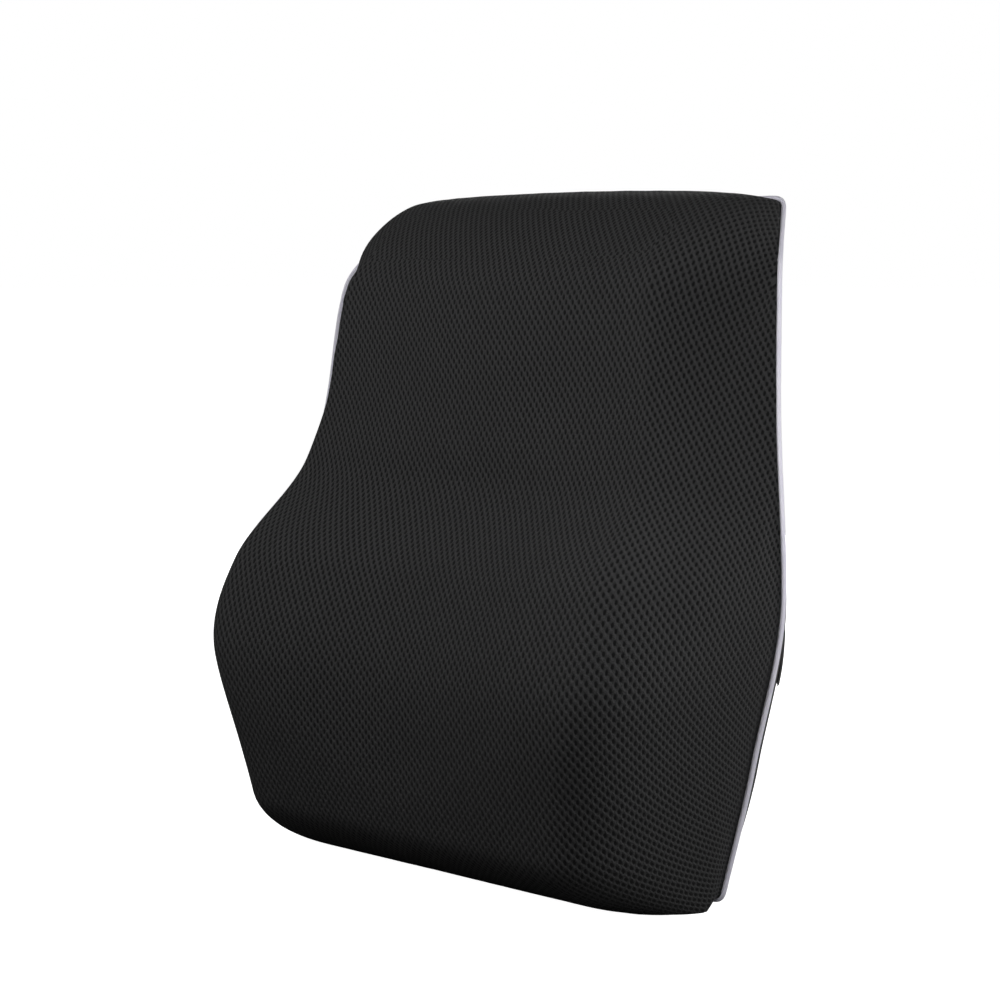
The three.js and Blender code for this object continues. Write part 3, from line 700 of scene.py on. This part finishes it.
def spread(field, across, up, fineAcross, fineUp):
    # a coarse field read off at the places of a finer grid
    columnPlaces, rowPlaces = across[0], up[:, 0]
    byRow = np.empty((len(rowPlaces), fineAcross.shape[1], 3))
    for r in range(len(rowPlaces)):
        for k in range(3):
            byRow[r, :, k] = np.interp(fineAcross[0], columnPlaces, field[r, :, k])
    out = np.empty((*fineAcross.shape, 3))
    for c in range(fineAcross.shape[1]):
        for k in range(3):
            out[:, c, k] = np.interp(fineUp[:, 0], rowPlaces, byRow[:, c, k])
    return out


def clothRipple(points, fromEdge):
    # small puckers where the cloth is gathered at the seam, and a slow wave elsewhere
    flat = points.reshape(-1, 3)
    short = np.array([noise.noise(Vector(p) * 110.0) for p in flat]).reshape(points.shape[:2])
    slow = np.array([noise.noise(Vector(p) * 22.0 + Vector((7, 3, 5))) for p in flat])
    slow = slow.reshape(points.shape[:2])
    atSeam = np.exp(-fromEdge / coverCloth["puckerReach"]) * smoothStep(fromEdge / 0.002)
    return coverCloth["pucker"] * short * atSeam + coverCloth["wave"] * slow * smoothStep(fromEdge / 0.03)


def edgeDistance(across, up):
    side = halfOutline(up) * (1 - np.abs(across))
    return np.minimum(side, np.minimum(up, 1 - up) * cushion["height"])


def makeFrontCover():
    across, up = gridPlaces(*coverCloth["grid"])
    outer = frontPoints(across, up, 0.0)
    coarse = gridPlaces(*coverCloth["simGrid"])
    outer = outer + spread(settleCloth(*coarse), *coarse, across, up)
    ripple = clothRipple(outer, edgeDistance(across, up))
    outer = outer + gridNormals(outer) * ripple[..., None]
    outer[..., 2] = np.maximum(outer[..., 2], 0.0)
    inner = frontPoints(across, up, layers["meshThickness"])
    piece = shellPiece("cover_front_panel", outer, inner, "mesh", evenCloth(outer))
    place(piece, "cushion", "mesh_cover", "cover_front")


makeFrontCover()
print("front cover made")


def makeInside():
    across, up = gridPlaces(64, 10, 40, 10)
    foam = shellPiece("foam_block", frontPoints(across, up, layers["foamInset"]),
                      backPoints(across, up, layers["foamInset"]), "foam")
    place(foam, "cushion", "foam", "foam_core")
    outside = layers["linerInset"]
    inside = outside + layers["linerThickness"]
    frontLayers = (frontPoints(across, up, outside), frontPoints(across, up, inside))
    backLayers = (backPoints(across, up, inside), backPoints(across, up, outside))
    for half, sides in (("front", frontLayers), ("back", backLayers)):
        place(shellPiece(f"liner_{half}_half", *sides, "liner"), "cushion", "liner", f"liner_{half}")


makeInside()
print("foam and liner made")


# the zip divides the back panel into two pieces
zipper = {"height": 0.052, "halfLength": 0.085, "window": 0.020, "gap": 0.0003, "coilGap": 0.0008,
          "coilHeight": 0.0020, "coilLow": -0.0004, "coilThick": 0.0018, "stopLength": 0.003,
          "turnPitch": 0.00125, "wire": 0.00032, "hem": 0.0022, "stitchPitch": 0.0029, "cutDepth": 0.06}


def backCloth(across, up, inset):
    points = backPoints(across, up, inset)
    ripple = clothRipple(points, edgeDistance(across, up))
    strapZone = 1 - smoothStep((np.abs(across) - 0.3) / 0.5)
    points[..., 1] += ripple * (1 - 0.7 * strapZone) * 0.8
    return points


def makeBackPanel(side):
    across, up = gridPlaces(120, 14, 84, 14)
    name = "cover_back_upper" if side > 0 else "cover_back_lower"
    outer = backCloth(across, up, 0.0)
    piece = shellPiece(name + "_panel", backPoints(across, up, layers["backThickness"]), outer, "back")
    hang = backFrame(zipper["height"])
    edge = hang @ Vector((0, 0, side * zipper["gap"]))
    normal = hang.to_3x3() @ Vector((0, 0, side))
    editWhole(piece, bpy.ops.mesh.bisect, plane_co=edge, plane_no=normal, use_fill=True, clear_inner=True)
    end = zipper["halfLength"] + zipper["gap"]
    cutter = addBlock("cutter", hang @ Matrix.Diagonal((2 * end, zipper["cutDepth"], zipper["window"], 1)))
    trim = piece.modifiers.new("window", "BOOLEAN")
    trim.operation, trim.object, trim.solver = "DIFFERENCE", cutter, "EXACT"
    applyModifiers(piece)
    bpy.data.objects.remove(cutter, do_unlink=True)
    piece.data.materials.clear()
    piece.data.materials.append(finishes["back"])
    selectOnly(piece)
    bpy.ops.object.shade_smooth_by_angle(angle=math.radians(40))
    place(piece, "cushion", "back_cloth", name)


for zipSide in (1, -1):
    makeBackPanel(zipSide)
print("back panels made")


pipingCord = {"radius": 0.00105, "clearance": 0.00035, "tilt": 0.35, "flange": 0.0035, "flangeHalf": 0.0001,
              "sides": 14, "spacing": 0.0016}


def seamLoop():
    # evenly spaced points round the seam
    across, up = gridPlaces(240, 40, 160, 40)
    rows, columns = across.shape
    rim = gridRim(rows, columns)
    points = frontPoints(across, up, 0.0)
    loop = np.array([points[r, c] for r, c in rim])
    loop[:, 1] = [seamLine(cushion["seamBase"] + up[r, c] * seamSpan) for r, c in rim]
    closed = np.vstack([loop, loop[:1]])
    lengths = np.concatenate([[0], np.cumsum(np.linalg.norm(np.diff(closed, axis=0), axis=1))])
    count = int(lengths[-1] / pipingCord["spacing"])
    places = np.linspace(0, lengths[-1], count, endpoint=False)
    even = np.stack([np.interp(places, lengths, closed[:, k]) for k in range(3)], axis=1)
    for _ in range(3):
        even = (np.roll(even, 1, axis=0) + 2 * even + np.roll(even, -1, axis=0)) / 4
    return even, places


def makePiping():
    seam, places = seamLoop()
    ahead = np.roll(seam, -1, axis=0)
    behind = np.roll(seam, 1, axis=0)
    across, _, up = (ahead - behind).T
    outFlat = np.stack([up, np.zeros(len(seam)), -across], axis=1)
    outFlat /= np.linalg.norm(outFlat, axis=1, keepdims=True)
    out = outFlat.copy()
    out[:, 1] = pipingCord["tilt"] * np.abs(outFlat[:, 2])
    out /= np.linalg.norm(out, axis=1, keepdims=True)
    along = ahead - behind
    along /= np.linalg.norm(along, axis=1, keepdims=True)
    level = np.cross(along, out)
    level /= np.linalg.norm(level, axis=1, keepdims=True)
    centres = seam + out * (pipingCord["radius"] + pipingCord["clearance"])
    points, uvs = [], []
    sides = pipingCord["sides"]
    angles = np.linspace(math.radians(9), math.radians(351), sides)
    for i in range(len(seam)):
        wobble = 1 + 0.05 * noise.noise(Vector(seam[i]) * 160.0)
        radius = pipingCord["radius"] * wobble
        for angle in angles:
            points.append(centres[i] + (level[i] * math.sin(angle) - out[i] * math.cos(angle)) * radius)
            uvs.append((places[i], angle * radius))
        root = seam[i] - outFlat[i] * pipingCord["flange"]
        root[1] = seamLine(root[2])
        side = np.array([0, pipingCord["flangeHalf"], 0]) * (1 if level[i][1] > 0 else -1)
        points += [root - side, root + side]
        uvs += [(places[i], 0.012), (places[i], 0.0125)]
    faces = tubeFaces(len(seam), sides + 2, closed=True)
    piece = addPiece("piping_cord", points, faces, uvs, "piping")
    turnOutwards(piece)
    place(piece, "cushion", "piping", "piping")


makePiping()
print("piping made")


straps = {"upper": 0.236, "lower": 0.116}
webbing = {"width": 0.025, "thickness": 0.0015, "standOff": 0.0009, "settle": 0.024, "buckleLevel": 0.00365,
           "flatTo": 0.061, "inset": 0.005, "leftFrom": 0.0244, "rightFrom": 0.0108, "steps": 90}


def strapEnd(height):
    return float(halfOutline(np.array(shareUp(height)))) - webbing["inset"]


def strapLift(x):
    beyond = (np.abs(x) - webbing["flatTo"]) / webbing["settle"]
    return webbing["buckleLevel"] + (webbing["standOff"] - webbing["buckleLevel"]) * smoothStep(beyond)


def bandSection(width, thickness, corner=3):
    # a thin rounded section: pairs of (place up the band, height off its underside)
    radius = thickness / 2
    half = width / 2 - radius
    rising = [(half + radius * math.sin(a), radius - radius * math.cos(a))
              for a in np.linspace(0, math.pi, 2 * corner + 1)]
    across = [(z, thickness) for z in np.linspace(half, -half, 12)[1:-1]]
    falling = [(-z, thickness - y) for z, y in rising]
    back = [(z, 0.0) for z in np.linspace(-half, half, 12)[1:-1]]
    return rising + across + falling + back


def makeBand(name, places, height, width, thickness, lifts, finish):
    # a band of cloth that follows the back panel through the places across it
    lean = leanAt(height)
    out = np.array([0, math.cos(lean), -math.sin(lean)])
    section = bandSection(width, thickness)
    points, uvs = [], []
    length = 0.0
    for i, x in enumerate(places):
        if i:
            length += abs(places[i] - places[i - 1])
        for z, y in section:
            height2 = height + z * math.cos(lean)
            base = np.array([x, backAt(x, height2), height2])
            points.append(base + out * (lifts[i] + y))
            uvs.append((length, z))
    piece = addPiece(name, points, tubeFaces(len(places), len(section)), uvs, finish)
    turnOutwards(piece)
    bpy.ops.object.shade_smooth_by_angle(angle=math.radians(50))
    return piece


def makeStrap(level, side):
    height = straps[level]
    inner = webbing["leftFrom"] if side < 0 else webbing["rightFrom"]
    outer = strapEnd(height)
    share = np.sin(np.linspace(0, math.pi / 2, webbing["steps"] + 1))
    places = side * (inner + (outer - inner) * share)
    word = "left" if side < 0 else "right"
    size = (webbing["width"], webbing["thickness"])
    piece = makeBand(f"{level}_strap_{word}_webbing", places, height, *size, strapLift(places), "webbing")
    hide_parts(f"{level}_strap_{word}")
    if side < 0:
        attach(piece, "cushion")
    else:
        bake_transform(piece)


for strapLevel in straps:
    for strapSide in (-1, 1):
        makeStrap(strapLevel, strapSide)
print("straps made")


# the care label is blank
careLabel = {"outer": 0.104, "width": 0.022, "height": 0.084, "length": 0.026, "thickness": 0.0006,
             "lift": 0.0005}


def makeCareLabel():
    places = np.linspace(careLabel["outer"] - careLabel["width"], careLabel["outer"], 24)
    lifts = np.full(len(places), careLabel["lift"])
    size = (careLabel["length"], careLabel["thickness"])
    piece = makeBand("care_label_tag", places, careLabel["height"], *size, lifts, "label")
    place(piece, "cushion", "label", "care_label")


makeCareLabel()


def makeCoil(name, side):
    # a spiral of nylon wire, flattened on the tape
    frameBack = backFrame(zipper["height"])
    near = side * (zipper["coilGap"] / 2 + zipper["wire"])  # clear of the slider's post
    far = side * (zipper["coilGap"] / 2 + zipper["coilHeight"] - zipper["wire"])
    middle = (near + far) / 2
    halfTall = (far - near) / 2
    low = zipper["coilLow"] + zipper["wire"]
    high = zipper["coilLow"] + zipper["coilThick"] - zipper["wire"]
    reach = zipper["halfLength"] - zipper["stopLength"] - 0.001
    turns = int(2 * reach / zipper["turnPitch"])
    steps = 14
    start = -turns * zipper["turnPitch"] / 2 + (0.0 if side > 0 else zipper["turnPitch"] / 2)
    path = []
    for i in range(turns * steps + 1):
        angle = 2 * math.pi * i / steps
        x = start + zipper["turnPitch"] * i / steps
        path.append(Vector((x, (low + high) / 2 + (high - low) / 2 * math.sin(angle),
                            middle + halfTall * math.cos(angle))))
    sides = 6
    points = []
    for i, centre in enumerate(path):
        along = (path[min(i + 1, len(path) - 1)] - path[max(i - 1, 0)]).normalized()
        first = along.cross(Vector((1, 0, 0))).normalized()
        second = along.cross(first)
        for k in range(sides):
            turn = 2 * math.pi * k / sides
            offset = (first * math.cos(turn) + second * math.sin(turn)) * zipper["wire"]
            points.append(frameBack @ (centre + offset))
    piece = addPiece(name + "_spiral", points, tubeFaces(len(path), sides), None, "coil")
    turnOutwards(piece)
    place(piece, "cushion", "zip_coil", name)
    # the filler cord that the wire is wound round
    slack = 2 * zipper["wire"] + 0.0001
    size = Matrix.Diagonal((2 * reach, high - low - slack, 2 * abs(halfTall) - slack, 1))
    cord = addBlock(name + "_cord", frameBack @ Matrix.Translation((0, (low + high) / 2, middle)) @ size)
    cord.data.materials.append(finishes["coil"])
    place(cord, "cushion", "zip_coil")


for coilName, coilSide in (("zip_coil_upper", 1), ("zip_coil_lower", -1)):
    makeCoil(coilName, coilSide)


def makeTape(name, side):
    frameBack = backFrame(zipper["height"])
    near = zipper["coilGap"] / 2 + zipper["coilHeight"] + zipper["gap"]
    far = zipper["window"] / 2 - zipper["gap"]
    length = zipper["halfLength"]
    columns, rows = 60, 8
    xs, zs = np.meshgrid(np.linspace(-length, length, columns), side * np.linspace(near, far, rows))
    if side < 0:
        zs = zs[::-1]
    grids = []
    for level in (-0.0003, 0.0005):
        flat = np.stack([xs, np.full_like(xs, level), zs], axis=-1).reshape(-1, 3)
        grids.append(np.array([frameBack @ Vector(p) for p in flat]).reshape(rows, columns, 3))
    piece = shellPiece(name + "_cloth", grids[0], grids[1], "tape")
    piece.data.polygons.foreach_set("use_smooth", [False] * len(piece.data.polygons))
    place(piece, "cushion", "zip_tape", name)


for tapeName, tapeSide in (("zip_tape_upper", 1), ("zip_tape_lower", -1)):
    makeTape(tapeName, tapeSide)


thread = {"radius": 0.00028, "sides": 6, "rings": 5, "share": 0.68, "lift": 0.00012}


def makeStitchRow(name, starts, ends, slot="back_cloth"):
    # short rounded stitches of thread, each from its start to its end
    radius, sides, rings = thread["radius"], thread["sides"], thread["rings"]
    points, faces, uvs = [], [], []
    for start, end in zip(starts, ends):
        along = (end - start).normalized()
        first = along.orthogonal().normalized()
        second = along.cross(first)
        base = len(points)
        for i in range(rings):
            t = i / (rings - 1)
            size = radius * (0.45 + 0.55 * math.sin(math.pi * t))
            centre = start.lerp(end, t)
            for k in range(sides):
                turn = 2 * math.pi * k / sides
                points.append(centre + (first * math.cos(turn) + second * math.sin(turn)) * size)
                uvs.append((t * 0.002, turn * radius))
        faces += tubeFaces(rings, sides, base)
    piece = addPiece(name, points, faces, uvs, "stitch")
    place(piece, "cushion", slot)


def onBack(x, z, lift):
    # a point just off the back panel
    lean = leanAt(float(z))
    return Vector((x, backAt(x, z) + lift * math.cos(lean), z - lift * math.sin(lean)))


def pointAlong(path, lengths, distance):
    i = min(max(int(np.searchsorted(lengths, distance)) - 1, 0), len(path) - 2)
    return path[i].lerp(path[i + 1], (distance - lengths[i]) / (lengths[i + 1] - lengths[i]))


def stitchLine(path):
    # starts and ends of even stitches along a path
    starts, ends = [], []
    lengths = [0.0]
    for a, b in zip(path, path[1:]):
        lengths.append(lengths[-1] + (b - a).length)
    stitch = zipper["stitchPitch"] * thread["share"]
    along = 0.0
    while along + stitch < lengths[-1]:
        starts.append(pointAlong(path, lengths, along))
        ends.append(pointAlong(path, lengths, along + stitch))
        along += zipper["stitchPitch"]
    return starts, ends


def makeTopstitching():
    # rows of stitches that hold the zip's tapes under the hemmed edges of the back panel
    starts, ends = [], []
    reach = zipper["halfLength"] + zipper["hem"]
    low = zipper["height"] - zipper["window"] / 2 - zipper["hem"]
    high = zipper["height"] + zipper["window"] / 2 + zipper["hem"]
    paths = [[onBack(x, z, thread["lift"]) for x in np.linspace(-reach, reach, 90)] for z in (low, high)]
    paths += [[onBack(x, z, thread["lift"]) for z in np.linspace(low, high, 12)] for x in (-reach, reach)]
    for path in paths:
        rowStarts, rowEnds = stitchLine(path)
        starts += rowStarts
        ends += rowEnds
    makeStitchRow("zip_topstitching", starts, ends)


makeTopstitching()


tacks = {"rows": 3, "fromEnd": 0.0030, "apart": 0.0016, "reach": 0.0105, "points": 16, "zigzag": 0.0005}


def makeStrapTacks():
    # a block of zigzag stitches where each strap is sewn down by the side seam
    for level, height in straps.items():
        for side in (-1, 1):
            outer = strapEnd(height)
            starts, ends = [], []
            for row in range(tacks["rows"]):
                x = side * (outer - tacks["fromEnd"] - tacks["apart"] * row)
                lift = webbing["standOff"] + webbing["thickness"] + 0.0001
                zs = np.linspace(height - tacks["reach"], height + tacks["reach"], tacks["points"])
                sway = [tacks["zigzag"] * (1 if i % 2 else -1) for i in range(len(zs))]
                path = [onBack(x + shift, z, lift) for shift, z in zip(sway, zs)]
                starts += path[:-1]
                ends += path[1:]
            word = "left" if side < 0 else "right"
            makeStitchRow(f"{level}_strap_{word}_tack", starts, ends, slot="webbing")


makeStrapTacks()
print("zip and stitching made")


# buckles, adjusters and the zip's metal are CAD solids, softened at their edges by these widths
moulded = {"plastic": 0.0005, "metal": 0.00018}


def softenNode(name, finish, width):
    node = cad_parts[name]
    if node.material_slots:
        node.material_slots[0].material = finishes[finish]
    else:
        node.data.materials.append(finishes[finish])
    weld = node.modifiers.new("weld", "WELD")
    weld.merge_threshold = 0.00001
    bevel = node.modifiers.new("bevel", "BEVEL")
    bevel.width = width
    bevel.segments = 3
    bevel.limit_method = "ANGLE"
    bevel.angle_limit = math.radians(35)


gripRibs = {"count": 4, "pitch": 0.0026, "width": 0.0011, "length": 0.015, "proud": 0.0005, "sunk": 0.0004,
            "round": 0.0003}


def makeGripRibs(level):
    # low ribs moulded on the plate of the plug, where a thumb holds it
    hang = backFrame(straps[level])
    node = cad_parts[f"{level}_buckle_plug"]
    corners = np.array([hang.inverted() @ (node.matrix_world @ v.co) for v in node.data.vertices])
    plate = corners[np.abs(corners[:, 2]) > 0.9 * np.abs(corners[:, 2]).max()]
    middle, face = (plate[:, 0].min() + plate[:, 0].max()) / 2, plate[:, 1].max()
    bars = []
    for i in range(gripRibs["count"]):
        x = middle + (i - (gripRibs["count"] - 1) / 2) * gripRibs["pitch"]
        y = face + (gripRibs["proud"] - gripRibs["sunk"]) / 2
        size = (gripRibs["width"], gripRibs["proud"] + gripRibs["sunk"], gripRibs["length"])
        bars.append(addBlock("bar", hang @ Matrix.Translation((x, y, 0)) @ Matrix.Diagonal((*size, 1))))
    for bar in bars:
        bar.select_set(True)
    bpy.context.view_layer.objects.active = bars[0]
    bpy.ops.object.join()
    ribs = bpy.context.object
    ribs.name = f"{level}_plug_grip"
    bevel = ribs.modifiers.new("bevel", "BEVEL")
    bevel.width, bevel.segments = gripRibs["round"], 3
    applyModifiers(ribs)
    bpy.ops.object.shade_smooth_by_angle(angle=math.radians(40))
    ribs.data.materials.append(finishes["plastic"])
    place(ribs, f"{level}_plug", "buckle_plastic")


for strapLevel in straps:
    makeGripRibs(strapLevel)
    for part in ("buckle_socket", "buckle_plug", "release_arm_low", "release_arm_high", "adjuster"):
        softenNode(f"{strapLevel}_{part}", "plastic", moulded["plastic"])
for zipNode in ("zip_slider", "zip_pull", "zip_stop_closed", "zip_stop_open"):
    softenNode(zipNode, "metal", moulded["metal"])
print("buckles and zip metal finished")


studio = {
    "floorSize": 60.0, "floorColour": 0.9, "floorBounce": 0.12, "floorGlow": 1.0,
    "areas": [  # name, place, power, size, what it points at
        ("high", (0.30, -0.50, 0.75), 0.44, 0.3, (0, 0, 0.24)),
        ("right", (0.40, -0.22, 0.30), 1.04, 0.3, (0, 0, 0.22)),
        ("left", (-0.15, -0.32, 0.40), 0.88, 0.3, (0, 0, 0.22)),
        ("behind", (-0.70, 1.25, 0.45), 10.0, 0.9, (0, 0, 0.16)),
        ("behindRight", (0.95, 0.75, 0.30), 5.0, 0.6, (0, 0, 0.14)),
    ],
    "worldLight": 0.02,
}


def makeFloor():
    bpy.ops.object.select_all(action="DESELECT")
    bpy.ops.mesh.primitive_plane_add(size=studio["floorSize"], location=(0, 0, 0))
    floor = bpy.context.object
    floor.name = "floor"
    material, tree, shader = newMaterial("studioFloor")
    grain = noiseNode(tree, objectOutput(tree), 3.0, 2.0)
    colours = []
    for pale in (studio["floorBounce"], studio["floorColour"]):
        colours.append(mixColours(tree, grain, (pale, pale, pale), (pale * 1.01, pale * 1.01, pale * 1.01)))
    seen = addNode(tree, "ShaderNodeLightPath").outputs["Is Camera Ray"]
    tree.links.new(mixColours(tree, seen, *colours), shader.inputs["Base Color"])
    shader.inputs["Roughness"].default_value = 0.9
    shader.inputs["Specular IOR Level"].default_value = 0.1
    tree.links.new(mixColours(tree, seen, (0, 0, 0), (1, 1, 1)), shader.inputs["Emission Color"])
    shader.inputs["Emission Strength"].default_value = studio["floorGlow"]
    floor.data.materials.append(material)


def addLight(name, location, power, size, aim):
    light = bpy.data.lights.new(name, "AREA")
    light.energy = power
    light.size = size
    lamp = bpy.data.objects.new(name, light)
    lamp.location = location
    lamp.visible_camera = False
    direction = Vector(aim) - Vector(location)
    lamp.rotation_euler = direction.to_track_quat("-Z", "Y").to_euler()
    bpy.context.scene.collection.objects.link(lamp)


def makeWorld():
    world = bpy.data.worlds.new("studio")
    world.use_nodes = True
    tree = world.node_tree
    soft = tree.nodes["Background"]
    soft.inputs[0].default_value = (1, 1, 1, 1)
    soft.inputs[1].default_value = studio["worldLight"]
    seen = addNode(tree, "ShaderNodeBackground")
    seen.inputs[0].default_value = (1, 1, 1, 1)
    seen.inputs[1].default_value = 1.0
    mix = addNode(tree, "ShaderNodeMixShader")
    tree.links.new(addNode(tree, "ShaderNodeLightPath").outputs["Is Camera Ray"], mix.inputs[0])
    tree.links.new(soft.outputs[0], mix.inputs[1])
    tree.links.new(seen.outputs[0], mix.inputs[2])
    tree.links.new(mix.outputs[0], tree.nodes["World Output"].inputs[0])
    bpy.context.scene.world = world


cameraView = {"azimuth": 43.73, "elevation": 5.43, "distance": 1.1842, "lens": 87.4, "sideways": -0.01704,
              "aimHeight": 0.1777}


def makeCamera():
    azimuth = math.radians(cameraView["azimuth"])
    elevation = math.radians(cameraView["elevation"])
    right = Vector((math.cos(azimuth), math.sin(azimuth), 0))
    aim = right * cameraView["sideways"] + Vector((0, shiftY, cameraView["aimHeight"]))
    away = Vector((math.sin(azimuth) * math.cos(elevation), -math.cos(azimuth) * math.cos(elevation),
                   math.sin(elevation)))
    data = bpy.data.cameras.new("camera")
    data.lens = cameraView["lens"]
    data.sensor_width = 36
    camera = bpy.data.objects.new("camera", data)
    camera.location = aim + away * cameraView["distance"]
    camera.rotation_euler = (-away).to_track_quat("-Z", "Y").to_euler()
    bpy.context.scene.collection.objects.link(camera)
    bpy.context.scene.camera = camera


makeFloor()
for lamp in studio["areas"]:
    addLight(*lamp)
makeWorld()
makeCamera()
bpy.context.scene.view_settings.view_transform = "Standard"
print("studio set")
